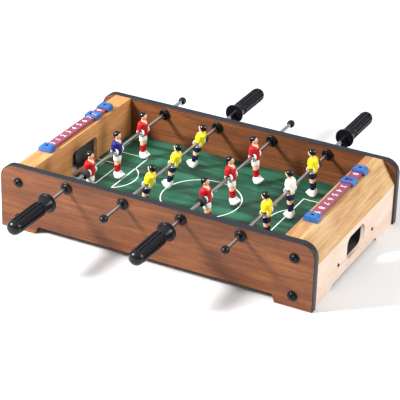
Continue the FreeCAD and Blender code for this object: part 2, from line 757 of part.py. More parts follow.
def figure(label, number, place, facing, tilt, shift):
    """A moulded player: side view and front view cut from one block, with a hub round the rod."""
    body = new_body(label)
    side = new_sketch(body, "XZ_Plane", "side_view")
    face = "head_lean + head_depth / 2"
    nape = "head_lean - head_depth / 2"
    temple = "head_top - crown_drop"
    armpit = "shoulder_top - shoulder_fall"
    outline(side, [
        (face + " - crown_inset", "head_top"), (face, temple), (face, "chin"),
        ("neck_depth / 2", "chin"), ("neck_depth / 2", "shoulder_top"),
        ("chest_depth / 2", armpit), ("chest_depth / 2", "-hem_drop"),
        ("leg_depth / 2", "-hem_drop"), ("leg_depth / 2", "-shoe_top"),
        ("toe_reach", "-toe_drop"), ("sole_front", "-sole_drop"),
        ("-sole_back", "-sole_drop"), ("-heel_reach", "-heel_drop"),
        ("-leg_depth / 2", "-shoe_top"), ("-leg_depth / 2", "-hem_drop"),
        ("-chest_depth / 2", "-hem_drop"), ("-chest_depth / 2", armpit),
        ("-neck_depth / 2", "shoulder_top"), ("-neck_depth / 2", "chin"),
        (nape, "chin + jaw_rise"), (nape, temple), (nape + " + crown_inset", "head_top")])
    pad(body, side, "shoulder_width", both_ways=True)
    front = new_sketch(body, "YZ_Plane", "front_view")
    beyond = "shoulder_width"
    rectangle(front, "-" + beyond, beyond, "-(sole_drop + crown_drop)", "head_top + crown_drop")
    outline(front, half_outline([
        ("shoe_width / 2", "-sole_drop"), ("shoe_width / 2", "-shoe_top"), ("leg_width / 2", "-shoe_top"),
        ("leg_width / 2", "-hem_drop"), ("waist_width / 2", "-hem_drop"), ("waist_width / 2", "waist_top"),
        ("shoulder_width / 2", "waist_top + waist_flare"), ("shoulder_width / 2", armpit),
        ("neck_width / 2", "shoulder_top"), ("neck_width / 2", "chin"),
        ("head_width / 2", "chin + jaw_rise"), ("head_width / 2", temple),
        ("head_width / 2 - crown_drop", "head_top")]))
    cut_through(body, front)
    hub = new_sketch(body, "XZ_Plane", "hub")
    circle(hub, "0", "0", "hub_radius")
    pad(body, hub, "hub_width", both_ways=True)
    bore = new_sketch(body, "XZ_Plane", "bore")
    circle(bore, "0", "0", "rod_radius + fixed_clearance")
    cut_through(body, bore)
    lean = FreeCAD.Rotation(FreeCAD.Vector(0, 1, 0), tilt)
    about_turn = FreeCAD.Rotation(FreeCAD.Vector(0, 0, 1), 0.0 if facing > 0 else 180.0)
    body.Placement = FreeCAD.Placement(FreeCAD.Vector(), lean.multiply(about_turn))
    bind(body, x=ROD_SPOTS[number - 1], y="%d * figure_pitch + %g" % (place, shift), z=ROD_HEIGHT)
    return keep(body)


# handle_side: -1 at the front, 1 at the back; facing: 1 towards +X, -1 towards -X;
# shift: how far the rod stands off its centred place; tilt: how far its figures are turned
RODS = {
    1: {"handle_side": -1, "shift": -8.0, "facing": 1, "tilt": -2.0},
    2: {"handle_side": 1, "shift": 1.0, "facing": -1, "tilt": 13.5},
    3: {"handle_side": -1, "shift": 3.0, "facing": 1, "tilt": -8.0},
    4: {"handle_side": 1, "shift": 8.0, "facing": -1, "tilt": -4.0},
}


def rod_assembly(number, handle_side, shift, facing, tilt):
    """One rod with its handle, end cap, bumper and three figures."""
    steel_rod(number, handle_side, shift)
    handle(number, handle_side, shift)
    end_cap(number, handle_side, shift)
    bumper(number, handle_side, shift)
    for place, spot in zip(range(-1, FIGURES_ON_A_ROD - 1), ("front", "middle", "back")):
        figure("figure_%d_%s" % (number, spot), number, place, facing, tilt, shift)


# ---------------------------------------------------------------- scorers

def scorer(name, degrees):
    """A numbered bar with a bracket at each end and a sliding pointer with a window."""
    base = "side_height"
    bar = new_body("scorer_bar_" + name)
    section = new_sketch(bar, "XZ_Plane", "section")
    stem_top = "%s + bar_stem_tall" % base
    bar_top = "%s + bar_tall" % base
    outline(section, [
        (SCORER_X + " + bar_stem_width / 2", base), (SCORER_X + " + bar_stem_width / 2", stem_top),
        (SCORER_X + " + bar_width / 2", stem_top), (SCORER_X + " + bar_width / 2", bar_top),
        (SCORER_X + " - bar_width / 2", bar_top), (SCORER_X + " - bar_width / 2", stem_top),
        (SCORER_X + " - bar_stem_width / 2", stem_top), (SCORER_X + " - bar_stem_width / 2", base)])
    pad(bar, section, "2 * (scorer_reach - bracket_length + bar_joint)", both_ways=True)
    turn(bar, (0, 0, 1), degrees)
    keep(bar)

    slider = new_body("scorer_slider_" + name)
    shape = new_sketch(slider, "XZ_Plane", "section")
    gap = "slider_clearance"
    outside = "bar_width / 2 + %s + slider_wall" % gap
    inside = "bar_width / 2 + %s" % gap
    lip = "bar_stem_width / 2 + %s" % gap
    right = [(SCORER_X + " + " + lip, "%s + %s" % (base, gap)),
             (SCORER_X + " + " + outside, "%s + %s" % (base, gap)),
             (SCORER_X + " + " + outside, "%s + %s + slider_wall" % (bar_top, gap))]
    left = [(SCORER_X + " - (%s)" % outside, "%s + %s + slider_wall" % (bar_top, gap)),
            (SCORER_X + " - (%s)" % outside, "%s + %s" % (base, gap)),
            (SCORER_X + " - (%s)" % lip, "%s + %s" % (base, gap)),
            (SCORER_X + " - (%s)" % lip, "%s - %s" % (stem_top, gap)),
            (SCORER_X + " - (%s)" % inside, "%s - %s" % (stem_top, gap)),
            (SCORER_X + " - (%s)" % inside, "%s + %s" % (bar_top, gap))]
    close = [(SCORER_X + " + " + inside, "%s + %s" % (bar_top, gap)),
             (SCORER_X + " + " + inside, "%s - %s" % (stem_top, gap)),
             (SCORER_X + " + " + lip, "%s - %s" % (stem_top, gap))]
    outline(shape, right + left + close)
    pad(slider, shape, "slider_length", both_ways=True)
    window = new_sketch(slider, "XY_Plane", "window")
    rectangle(window, SCORER_X + " - window_width / 2", SCORER_X + " + window_width / 2",
              "-window_length / 2", "window_length / 2")
    cut_into(slider, window, bar_top + " + 2 * slider_wall", backwards=True)
    turn(slider, (0, 0, 1), degrees)
    bind(slider, y=name + "_slider_place")
    keep(slider)


def scorer_brackets():
    """Four arched brackets that hold the bars' ends down, and their screws."""
    inner = "scorer_reach - bracket_length"
    bracket = new_body("bracket")
    arch = new_sketch(bracket, "XZ_Plane", "arch")
    rectangle(arch, "-bracket_width / 2", "bracket_width / 2", "0", "bracket_tall")
    pad(bracket, arch, "bracket_length", backwards=True)
    round_edges(bracket, "round", "bracket_round", lambda edge: runs_along(edge, (0, 1, 0))
                and edge.CenterOfMass.z > value("bracket_tall") - NEARLY)
    slot = new_sketch(bracket, "XZ_Plane", "slot")
    outline(slot, half_outline([
        ("bar_stem_width / 2", "0"), ("bar_stem_width / 2", "bar_stem_tall"),
        ("bar_width / 2", "bar_stem_tall"), ("bar_width / 2", "bar_tall")]))
    cut_into(bracket, slot, "bar_joint", backwards=False)
    holes = new_sketch(bracket, "XY_Plane", "hole")
    circle(holes, "0", "bracket_length / 2", "score_screw_radius + fixed_clearance")
    cut_through(bracket, holes)
    sink = new_sketch(bracket, "XY_Plane", "sink", "bracket_tall")
    circle(sink, "0", "bracket_length / 2", "score_screw_head")
    cut_into(bracket, sink, "score_screw_sink")
    head = "bracket_tall - score_screw_sink"
    tip = "%s - score_screw_length" % head
    face = "bracket_tall - score_screw_recess"
    screw = turned("scorer_screw", [
        ("0", tip), ("score_screw_radius", tip), ("score_screw_radius", head),
        ("score_screw_head - fixed_clearance", head), ("score_screw_head - fixed_clearance", face),
        ("0", face)])
    bracket_spots = []
    screw_spots = []
    for end in (1, -1):
        for side, degrees in ((1, 0.0), (-1, 180.0)):
            x = "%d * (%s)" % (end, SCORER_X)
            bracket_spots.append(at(x, "%d * (%s)" % (side, inner), "side_height", (0, 0, 1), degrees))
            screw_spots.append(at(x, "%d * (%s)" % (side, SCREW_Y), "side_height"))
    keep(copies("scorer_brackets", bracket, bracket_spots))
    keep(copies("scorer_screws", screw, screw_spots))


# ---------------------------------------------------------------- the whole table

def check_document():
    """Stop if any feature failed, or a sub-part has no valid solid."""
    for item in doc.Objects:
        if "Invalid" in item.State or "Error" in item.State:
            raise RuntimeError("%s is in state %s" % (item.Name, item.State))
    for piece in sub_parts:
        shape = piece.Shape
        if shape.isNull() or not shape.isValid() or not shape.Solids:
            raise RuntimeError("%s has no valid solid" % piece.Label)


fill_sheet()
for side_name, side_sign in SIDES.items():
    side_panel(side_name, side_sign)
    edge_band(side_name, side_sign)
playing_field()
for end_name, end_turn in ENDS.items():
    inner_board(end_name, end_turn)
    top_board(end_name, end_turn)
    slope_board(end_name, end_turn)
    outer_board(end_name, end_turn)
    goal_chute(end_name, end_turn)
corner_blocks()
bolts_and_washers()
chute_screws()
rod_bearings()
for rod_number, layout in RODS.items():
    rod_assembly(rod_number, **layout)
for end_name, end_turn in ENDS.items():
    scorer(end_name, end_turn)
scorer_brackets()
doc.recompute()
check_document()

os.makedirs("parts", exist_ok=True)
for sub_part in sub_parts:
    sub_part.Shape.exportStep("parts/%s.step" % sub_part.Label)
    room = sub_part.Shape.BoundBox
    print("%-22s %d solids  x %7.1f %7.1f  y %7.1f %7.1f  z %6.1f %6.1f" % (
        sub_part.Label, len(sub_part.Shape.Solids), room.XMin, room.XMax,
        room.YMin, room.YMax, room.ZMin, room.ZMax))
print(len(sub_parts), "sub-parts")
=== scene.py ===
# A tabletop football game, dressed around its CAD frame.
# X runs along the table, Y from its front panel to its back panel, Z up; metres.
import math

import bmesh
import bpy
from mathutils import Matrix, Vector


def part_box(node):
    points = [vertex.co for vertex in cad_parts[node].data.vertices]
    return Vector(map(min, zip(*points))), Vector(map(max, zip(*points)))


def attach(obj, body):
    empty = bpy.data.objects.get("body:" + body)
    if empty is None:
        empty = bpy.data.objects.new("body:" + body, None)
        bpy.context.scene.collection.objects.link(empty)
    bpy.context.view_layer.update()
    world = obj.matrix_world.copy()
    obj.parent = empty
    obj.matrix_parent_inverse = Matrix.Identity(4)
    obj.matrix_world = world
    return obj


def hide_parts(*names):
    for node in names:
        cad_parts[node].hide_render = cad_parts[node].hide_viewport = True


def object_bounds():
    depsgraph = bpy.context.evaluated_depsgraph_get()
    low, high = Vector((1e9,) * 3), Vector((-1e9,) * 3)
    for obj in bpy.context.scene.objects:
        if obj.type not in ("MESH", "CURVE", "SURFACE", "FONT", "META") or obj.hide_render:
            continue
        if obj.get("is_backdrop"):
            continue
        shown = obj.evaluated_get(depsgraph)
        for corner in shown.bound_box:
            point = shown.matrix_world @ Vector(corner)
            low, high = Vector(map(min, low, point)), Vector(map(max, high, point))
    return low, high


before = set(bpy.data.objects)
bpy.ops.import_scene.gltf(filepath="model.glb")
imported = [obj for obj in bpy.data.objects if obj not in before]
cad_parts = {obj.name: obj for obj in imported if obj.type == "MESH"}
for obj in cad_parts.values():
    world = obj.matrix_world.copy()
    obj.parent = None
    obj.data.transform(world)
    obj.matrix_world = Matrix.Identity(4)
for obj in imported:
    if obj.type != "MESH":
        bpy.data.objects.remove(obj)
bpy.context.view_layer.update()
MM = 0.001

# ------------------------------------------------------------------ studio
# A pale paper floor under white light from all round, a soft lamp at the front left and a
# broad one at the right, and a long lens in front, to the right and above.
FLOOR_SIZE = 30.0
CAMERA_AZIMUTH = 26.8
CAMERA_ELEVATION = 27.6
CAMERA_DISTANCE = 2.572
CAMERA_ROLL = 1.7
CAMERA_AIM = Vector((8.9, -21.3, 51.2)) * MM
CAMERA_LENS = 155.6
SENSOR_WIDTH = 36.0
SKY_ZENITH = 1.0
SKY_HORIZON = 0.06
KEY_SPOT = (-0.95, -1.02, 1.04)
KEY_SIZE = 0.30
KEY_WATTS = 52.0
SIDE_SPOT = (1.70, 0.55, 0.80)
SIDE_SIZE = 0.60
SIDE_WATTS = 23.0


def linear(code):
    """The linear colour of an sRGB hex code."""
    parts = [int(code[i:i + 2], 16) / 255 for i in (0, 2, 4)]
    return [c / 12.92 if c <= 0.04045 else ((c + 0.055) / 1.055) ** 2.4 for c in parts] + [1.0]


def new_material(name, **finish):
    """A material with one Principled shader, whose own sockets take the finish's values."""
    material = bpy.data.materials.new(name)
    material.use_nodes = True
    shader = material.node_tree.nodes["Principled BSDF"]
    for socket, amount in finish.items():
        shader.inputs[socket.replace("_", " ")].default_value = amount
    return material, material.node_tree, shader


def add_node(tree, kind, inputs, **settings):
    """Add a shader node with its settings; an input is a value or another node's output."""
    made = tree.nodes.new("ShaderNode" + kind)
    for name, setting in settings.items():
        setattr(made, name, setting)
    for name, given in inputs.items():
        if isinstance(given, bpy.types.NodeSocket):
            tree.links.new(given, made.inputs[name])
        else:
            made.inputs[name].default_value = given
    return made


# Matt paper: nearly white, with a faint cloud in its tone.
paper, tree, shader = new_material("matt_paper", Roughness=0.9)
place = add_node(tree, "TexCoord", {}).outputs["Object"]
cloud = add_node(tree, "TexNoise", {"Vector": place, "Scale": 2.0, "Detail": 2.0})
tone = add_node(tree, "Mix", {"Factor": cloud.outputs["Fac"], "A": linear("DCDCDC"),
                              "B": linear("E0E0E0")}, data_type="RGBA")
tree.links.new(tone.outputs["Result"], shader.inputs["Base Color"])

bpy.ops.object.select_all(action="DESELECT")
bpy.ops.mesh.primitive_plane_add(size=FLOOR_SIZE)
floor = bpy.context.object
floor.name = "floor"
floor.data.materials.append(paper)
floor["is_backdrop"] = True

world = bpy.data.worlds.new("white_studio")
world.use_nodes = True
sky = world.node_tree.nodes["Background"]
sky.inputs["Color"].default_value = linear("FFFFFF")
aim = add_node(world.node_tree, "TexCoord", {})
height = add_node(world.node_tree, "SeparateXYZ", {"Vector": aim.outputs["Generated"]})
glow = add_node(world.node_tree, "MapRange", {"Value": height.outputs["Z"], "From Max": 0.7,
                                              "To Min": SKY_HORIZON, "To Max": SKY_ZENITH})
world.node_tree.links.new(glow.outputs["Result"], sky.inputs["Strength"])
bpy.context.scene.world = world
bpy.context.scene.view_settings.view_transform = "Standard"

for name, spot, size, watts in (("key_lamp", KEY_SPOT, KEY_SIZE, KEY_WATTS),
                                ("side_lamp", SIDE_SPOT, SIDE_SIZE, SIDE_WATTS)):
    bpy.ops.object.light_add(type="AREA", location=spot)
    lamp = bpy.context.object
    lamp.name = name
    lamp.data.size = size
    lamp.data.energy = watts
    lamp.rotation_euler = Vector(spot).to_track_quat("Z", "Y").to_euler()

turn, lift, roll = (math.radians(a) for a in (CAMERA_AZIMUTH, CAMERA_ELEVATION, CAMERA_ROLL))
back = Vector((math.sin(turn) * math.cos(lift), -math.cos(turn) * math.cos(lift), math.sin(lift)))
level = Vector((0, 0, 1)).cross(back).normalized()
upright = back.cross(level)
right = math.cos(roll) * level + math.sin(roll) * upright
above = math.cos(roll) * upright - math.sin(roll) * level
bpy.ops.object.camera_add()
camera = bpy.context.object
camera.data.lens = CAMERA_LENS
camera.data.sensor_width = SENSOR_WIDTH
camera.matrix_world = (Matrix.Translation(CAMERA_AIM + CAMERA_DISTANCE * back)
                       @ Matrix((right, above, back)).transposed().to_4x4())
bpy.context.scene.camera = camera

# ------------------------------------------------------------------ side panels
# Two boards of MDF with a printed cherry foil on both faces, drilled for the rods and bolts.
# The foil is thin melamine paper: satin, with brown streaks and short pores along the board.


def wood_foil(name, grain, pale, middle, dark, pore, roughness):
    """Printed wood foil; grain is the axis its fibres lie along, 0 for X or 1 for Y."""
    material, tree, shader = new_material(name, Roughness=roughness, Specular_IOR_Level=0.3)
    place = add_node(tree, "TexCoord", {}).outputs["Object"]

    def fibres(across, along):
        """Coordinates in which noise of scale 1 has fibres of these millimetres."""
        scale = [1 / (across * MM)] * 3
        scale[grain] = 1 / (along * MM)
        return add_node(tree, "Mapping", {"Vector": place, "Scale": scale}).outputs["Vector"]

    wander = add_node(tree, "TexNoise", {"Vector": fibres(40.0, 120.0), "Scale": 1.0, "Detail": 2.0})
    bands = add_node(tree, "TexNoise", {"Vector": fibres(9.0, 150.0), "Scale": 1.0, "Detail": 4.0,
                                        "Distortion": 1.4})
    streaks = add_node(tree, "TexNoise", {"Vector": fibres(1.6, 70.0), "Scale": 1.0, "Detail": 5.0,
                                          "Distortion": 0.4})
    pores = add_node(tree, "TexNoise", {"Vector": fibres(0.7, 9.0), "Scale": 1.0, "Detail": 1.0})
    broad = add_node(tree, "Math", {0: wander.outputs["Fac"], 1: bands.outputs["Fac"]}, operation="ADD")
    tone = add_node(tree, "ValToRGB", {"Fac": add_node(
        tree, "Math", {0: broad.outputs[0], 1: 0.5}, operation="MULTIPLY").outputs[0]})
    ramp = tone.color_ramp.elements
    ramp[0].position, ramp[0].color = 0.36, linear(dark)
    ramp[1].position, ramp[1].color = 0.64, linear(pale)
    half_way = ramp.new(0.5)
    half_way.color = linear(middle)
    fine = add_node(tree, "MapRange", {"Value": streaks.outputs["Fac"], "From Min": 0.35,
                                       "From Max": 0.68, "To Min": 0.0, "To Max": 0.55})
    streaked = add_node(tree, "Mix", {"Factor": fine.outputs["Result"], "A": tone.outputs["Color"],
                                      "B": linear(dark)}, data_type="RGBA")
    dashes = add_node(tree, "MapRange", {"Value": pores.outputs["Fac"], "From Min": 0.60,
                                         "From Max": 0.72, "To Min": 0.0, "To Max": 0.6})
    printed = add_node(tree, "Mix", {"Factor": dashes.outputs["Result"], "A": streaked.outputs["Result"],
                                     "B": linear(pore)}, data_type="RGBA")
    tree.links.new(printed.outputs["Result"], shader.inputs["Base Color"])
    gloss = add_node(tree, "MapRange", {"Value": streaks.outputs["Fac"], "To Min": roughness - 0.08,
                                        "To Max": roughness + 0.1})
    tree.links.new(gloss.outputs["Result"], shader.inputs["Roughness"])
    relief = add_node(tree, "Bump", {"Height": dashes.outputs["Result"], "Strength": 0.15,
                                     "Distance": 0.05 * MM}, invert=True)
    tree.links.new(relief.outputs["Normal"], shader.inputs["Normal"])
    return material


def paint_node(name, material):
    """Give a CAD node a material in place of its plain one."""
    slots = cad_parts[name].data.materials
    slots.clear()
    slots.append(material)


cherry_foil = wood_foil("cherry_foil", 0, "8F5933", "774528", "5A331E", "3F2113", 0.4)
for side in ("front", "back"):
    paint_node("side_panel_" + side, cherry_foil)

# ------------------------------------------------------------------ edge bands
# A strip of black ABS, glued over each panel's ends, round its corners and along its top.
# It is extruded, then its edges are scraped round after gluing, so they catch the light.
CORNER_RADIUS = 22.0 * MM
BAND_THICK = 1.2 * MM
BAND_ROUND = 0.45 * MM


def activate(piece):
    """Make a piece the active one and the only one selected."""
    bpy.ops.object.select_all(action="DESELECT")
    piece.select_set(True)
    bpy.context.view_layer.objects.active = piece


def edit(piece):
    """Open a piece for editing."""
    activate(piece)
    bpy.ops.object.mode_set(mode="EDIT")


def select(kind, test):
    """Select what passes the test: vertices by place, edges by middle and direction, and
    faces by middle and normal."""
    bpy.ops.mesh.select_mode(type=kind)
    bpy.ops.mesh.select_all(action="DESELECT")
    mesh = bmesh.from_edit_mesh(bpy.context.object.data)
    mesh.select_mode = {kind}
    if kind == "VERT":
        chosen = [v for v in mesh.verts if test(v.co)]
    elif kind == "EDGE":
        chosen = [e for e in mesh.edges if test((e.verts[0].co + e.verts[1].co) / 2,
                                                (e.verts[0].co - e.verts[1].co).normalized())]
    else:
        chosen = [f for f in mesh.faces if test(f.calc_center_median(), f.normal)]
    for item in chosen:
        item.select_set(True)
    mesh.select_flush_mode()
    bmesh.update_edit_mesh(bpy.context.object.data)


def close(piece):
    """Make the normals point outwards and leave edit mode."""
    bpy.ops.mesh.select_mode(type="FACE")
    bpy.ops.mesh.select_all(action="SELECT")
    bpy.ops.mesh.normals_make_consistent(inside=False)
    bpy.ops.object.mode_set(mode="OBJECT")
    return piece


def modify(piece, kind, **settings):
    """Add a modifier with its settings and apply it."""
    activate(piece)
    modifier = piece.modifiers.new(kind.lower(), kind)
    for name, setting in settings.items():
        setattr(modifier, name, setting)
    bpy.ops.object.modifier_apply(modifier=modifier.name)
    return piece


def round_edges(piece, radius, segments=3, angle=32.0):
    """Round the sharp edges of a piece, and shade it smooth but for what is still sharp."""
    modify(piece, "BEVEL", width=radius, segments=segments, limit_method="ANGLE",
           angle_limit=math.radians(angle), harden_normals=False)
    bpy.ops.object.shade_smooth_by_angle(angle=math.radians(angle))
    return piece


def settle(piece, spot=(0, 0, 0), turning=None):
    """Turn and move a finished piece, and put its place in its mesh."""
    activate(piece)
    piece.matrix_world = Matrix.Translation(spot) @ (turning or Matrix())
    bpy.ops.object.transform_apply(location=True, rotation=True, scale=True)
    return piece


def block(size, spot):
    """A block of these three sizes, standing on its spot's height."""
    bpy.ops.object.select_all(action="DESELECT")
    bpy.ops.mesh.primitive_cube_add(size=1)
    place = Vector(spot) + Vector((0, 0, size[2] / 2))
    return settle(bpy.context.object, place, Matrix.Diagonal(Vector(size)).to_4x4())


def dress(piece, material, slot, body, *nodes):
    """Give a new piece its material and its body, and hide the nodes it stands for; slot is not used."""
    if material:
        piece.data.materials.clear()
        piece.data.materials.append(material)
    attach(piece, body)
    if nodes:
        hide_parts(*nodes)
    return piece


def moulded_plastic(name, colour, roughness, grain=0.5, bump=0.03, mottle=0.12, shine=0.5):
    """Injection-moulded plastic: one colour with a faint mottle, and a fine eroded-mould grain in mm."""
    material, tree, shader = new_material(name, Roughness=roughness, IOR=1.49, Specular_IOR_Level=shine)
    place = add_node(tree, "TexCoord", {}).outputs["Object"]
    shade = linear(colour)
    darker = [part * (1 - mottle) for part in shade[:3]] + [1.0]
    lighter = [min(1.0, part * (1 + mottle)) for part in shade[:3]] + [1.0]
    cloud = add_node(tree, "TexNoise", {"Vector": place, "Scale": 1 / (7 * MM), "Detail": 3.0})
    tone = add_node(tree, "Mix", {"Factor": cloud.outputs["Fac"], "A": darker, "B": lighter},
                    data_type="RGBA")
    tree.links.new(tone.outputs["Result"], shader.inputs["Base Color"])
    gloss = add_node(tree, "MapRange", {"Value": cloud.outputs["Fac"], "To Min": roughness * 0.75,
                                        "To Max": roughness * 1.3})
    tree.links.new(gloss.outputs["Result"], shader.inputs["Roughness"])
    skin = add_node(tree, "TexNoise", {"Vector": place, "Scale": 1 / (grain * MM), "Detail": 2.0})
    relief = add_node(tree, "Bump", {"Height": skin.outputs["Fac"], "Strength": 0.4,
                                     "Distance": bump * MM})
    tree.links.new(relief.outputs["Normal"], shader.inputs["Normal"])
    return material


black_edging = moulded_plastic("extruded_black_ABS", "1E2127", 0.36, grain=0.8, shine=0.3)
for side in ("front", "back"):
    low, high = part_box("edge_band_" + side)
    band = block(high - low, ((low.x + high.x) / 2, (low.y + high.y) / 2, low.z))
    band.name = "edging_" + side
    edit(band)
    select("FACE", lambda middle, normal: normal.z < -0.5)
    bpy.ops.mesh.delete(type="FACE")
    select("EDGE", lambda middle, along: middle.z > high.z - MM and abs(along.y) > 0.5)
    bpy.ops.mesh.bevel(offset=CORNER_RADIUS, segments=12, affect="EDGES")
    select("FACE", lambda middle, normal: abs(normal.y) > 0.5)
    bpy.ops.mesh.delete(type="FACE")
    close(band)
    modify(band, "SOLIDIFY", thickness=BAND_THICK, offset=-1.0, use_even_offset=True)
    round_edges(band, BAND_ROUND)
    dress(band, black_edging, "black_edging", "cabinet", "edge_band_" + side)

# ------------------------------------------------------------------ playing field
# A printed and varnished sheet on a thin fibreboard that rests on two pine battens.
# The print is a mown green in long stripes; the white lines are a thicker, screened ink.
LINE_WIDTH = 1.8 * MM
INK_THICK = 0.06 * MM
CIRCLE_RADIUS = 62.4 * MM
PENALTY_LINE = 135.1 * MM
PENALTY_HALF = 77.9 * MM
GOAL_LINE = 163.1 * MM
GOAL_HALF = 37.4 * MM
ARC_CENTRE = 162.0 * MM
ARC_RADIUS = 47.9 * MM
BOARD_GAP = 0.1 * MM

material, tree, shader = new_material("printed_green_field", Roughness=0.45, Specular_IOR_Level=0.3)
place = add_node(tree, "TexCoord", {}).outputs["Object"]
long_way = add_node(tree, "Mapping", {"Vector": place, "Scale": (1 / 0.16, 1 / 0.026, 1.0)})
sweep = add_node(tree, "TexNoise", {"Vector": long_way.outputs["Vector"], "Scale": 1.0, "Detail": 3.0,
                                    "Distortion": 0.8})
tone = add_node(tree, "ValToRGB", {"Fac": sweep.outputs["Fac"]})
ramp = tone.color_ramp.elements
ramp[0].position, ramp[0].color = 0.40, linear("173F30")
ramp[1].position, ramp[1].color = 0.62, linear("2D7356")
blade = add_node(tree, "Mapping", {"Vector": place, "Scale": (1 / (3 * MM), 1 / (0.9 * MM), 1.0)})
blades = add_node(tree, "TexNoise", {"Vector": blade.outputs["Vector"], "Scale": 1.0, "Detail": 3.0})
speck = add_node(tree, "MapRange", {"Value": blades.outputs["Fac"], "From Min": 0.4, "From Max": 0.7,
                                    "To Min": 0.0, "To Max": 0.4})
green = add_node(tree, "Mix", {"Factor": speck.outputs["Result"], "A": tone.outputs["Color"],
                               "B": linear("163528")}, data_type="RGBA")
tree.links.new(green.outputs["Result"], shader.inputs["Base Color"])
relief = add_node(tree, "Bump", {"Height": blades.outputs["Fac"], "Strength": 0.2, "Distance": 0.03 * MM})
tree.links.new(relief.outputs["Normal"], shader.inputs["Normal"])
paint_node("field_sheet", material)

# Screen-printed white ink: slightly broken where the weave of the screen shows.
ink, tree, shader = new_material("screened_white_ink", Roughness=0.45)
place = add_node(tree, "TexCoord", {}).outputs["Object"]
cover = add_node(tree, "TexNoise", {"Vector": place, "Scale": 1 / (0.6 * MM), "Detail": 2.0})
white = add_node(tree, "Mix", {"Factor": cover.outputs["Fac"], "A": linear("D9E4DC"),
                               "B": linear("F7FAF7")}, data_type="RGBA")
tree.links.new(white.outputs["Result"], shader.inputs["Base Color"])

field_end, _, sheet_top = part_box("field_sheet")[1]
field_top = sheet_top + INK_THICK
line_end = field_end - BOARD_GAP


def hollow_line(line):
    """Inset a flat face by a line's width and take its middle out."""
    edit(line)
    bpy.ops.mesh.select_all(action="SELECT")
    bpy.ops.mesh.inset(thickness=LINE_WIDTH)
    bpy.ops.mesh.delete(type="FACE")
    bpy.ops.object.mode_set(mode="OBJECT")
    return line


def ring_line(x, radius):
    """A flat printed ring about a point on the long axis."""
    bpy.ops.object.select_all(action="DESELECT")
    bpy.ops.mesh.primitive_circle_add(vertices=96, radius=radius, fill_type="NGON")
    return hollow_line(settle(bpy.context.object, (x, 0, field_top)))


def box_line(near, half):
    """A flat printed box, from its near line to just under the end board."""
    bpy.ops.object.select_all(action="DESELECT")
    bpy.ops.mesh.primitive_plane_add(size=1)
    size = Matrix.Diagonal((field_end - near + 2 * LINE_WIDTH, 2 * half, 1, 1))
    return hollow_line(settle(bpy.context.object, ((near + field_end) / 2, 0, field_top), size))


def trim(line, x):
    """Cut a flat line at x and take away what is beyond it."""
    edit(line)
    bpy.ops.mesh.select_all(action="SELECT")
    bpy.ops.mesh.bisect(plane_co=(x, 0, 0), plane_no=(1, 0, 0), clear_outer=True)
    bpy.ops.object.mode_set(mode="OBJECT")
    return line


def join(name, pieces):
    """Make several pieces one."""
    bpy.ops.object.select_all(action="DESELECT")
    for piece in pieces:
        piece.select_set(True)
    bpy.context.view_layer.objects.active = pieces[0]
    bpy.ops.object.join()
    pieces[0].name = name
    return pieces[0]


lines = [ring_line(0.0, CIRCLE_RADIUS)]
for end in (-1, 1):
    half_turn = Matrix.Rotation(0.0 if end > 0 else math.pi, 4, "Z")
    penalty = trim(box_line(PENALTY_LINE, PENALTY_HALF), line_end)
    goal_area = trim(box_line(GOAL_LINE, GOAL_HALF), line_end)
    arc = trim(ring_line(ARC_CENTRE, ARC_RADIUS), PENALTY_LINE)
    for line in (penalty, goal_area, arc):
        lines.append(settle(line, (0, 0, 0), half_turn))
field_lines = join("field_lines", lines)
modify(field_lines, "SOLIDIFY", thickness=INK_THICK, offset=-1.0)
dress(field_lines, ink, "printed_field", "cabinet")

# Fibreboard: pressed brown fibres, matt.
material, tree, shader = new_material("pressed_fibreboard", Roughness=0.8)
place = add_node(tree, "TexCoord", {}).outputs["Object"]
fibre = add_node(tree, "TexNoise", {"Vector": place, "Scale": 1 / (0.8 * MM), "Detail": 6.0,
                                    "Distortion": 1.0})
brown = add_node(tree, "Mix", {"Factor": fibre.outputs["Fac"], "A": linear("6B4A31"),
                               "B": linear("A07A55")}, data_type="RGBA")
tree.links.new(brown.outputs["Result"], shader.inputs["Base Color"])
relief = add_node(tree, "Bump", {"Height": fibre.outputs["Fac"], "Strength": 0.3, "Distance": 0.1 * MM})
tree.links.new(relief.outputs["Normal"], shader.inputs["Normal"])
paint_node("field_board", material)

# ------------------------------------------------------------------ end boxes
# Inner, top, slope and outer boards of thin MDF in pale oak foil, with the fibres across the
# table, glued to pine blocks.  A black moulded chute leads from each goal to its outlet.
warm_oak = wood_foil("warm_oak_foil", 1, "E3AB70", "D4985F", "B87848", "9A5C34", 0.42)
pale_oak = wood_foil("pale_oak_foil", 1, "D8BB90", "C8A373", "A87548", "8E5D32", 0.4)
# The outer boards get a paler, greyer copy of the same oak foil: painted light, standing in for the
# strong side lamp and the white reflection on their faces.
oak_with_painted_light = wood_foil("oak_foil_painted_light", 1, "E2D0C2", "DAC5B6", "CEB49F", "BC9B80", 0.45)
pine = wood_foil("sawn_pine", 2, "E3C79B", "D8B684", "BF9561", "A67A4A", 0.75)
chute_plastic = moulded_plastic("moulded_black_polystyrene", "17181C", 0.3, grain=0.7, shine=0.3)
for end in ("left", "right"):
    paint_node("inner_board_" + end, warm_oak)
    paint_node("top_board_" + end, warm_oak if end == "left" else pale_oak)
    paint_node("slope_board_" + end, pale_oak)
    # painted light: the outer boards take the paler copy of the oak foil
    paint_node("outer_board_" + end, oak_with_painted_light)
    paint_node("goal_chute_" + end, chute_plastic)
paint_node("corner_blocks", pine)
paint_node("field_battens", pine)

# ------------------------------------------------------------------ bolts and washers
# Button-headed socket bolts of black-oxide steel, forged and turned, over flat washers, in
# brass inserts.  The heads are polished domes with a hexagonal socket.
HEAD_RADIUS = 5.5
HEAD_TALL = 3.0
SHANK_RADIUS = 2.5
SHANK_LENGTH = 24.2
SOCKET_RADIUS = 1.9
SOCKET_DEPTH = 1.8


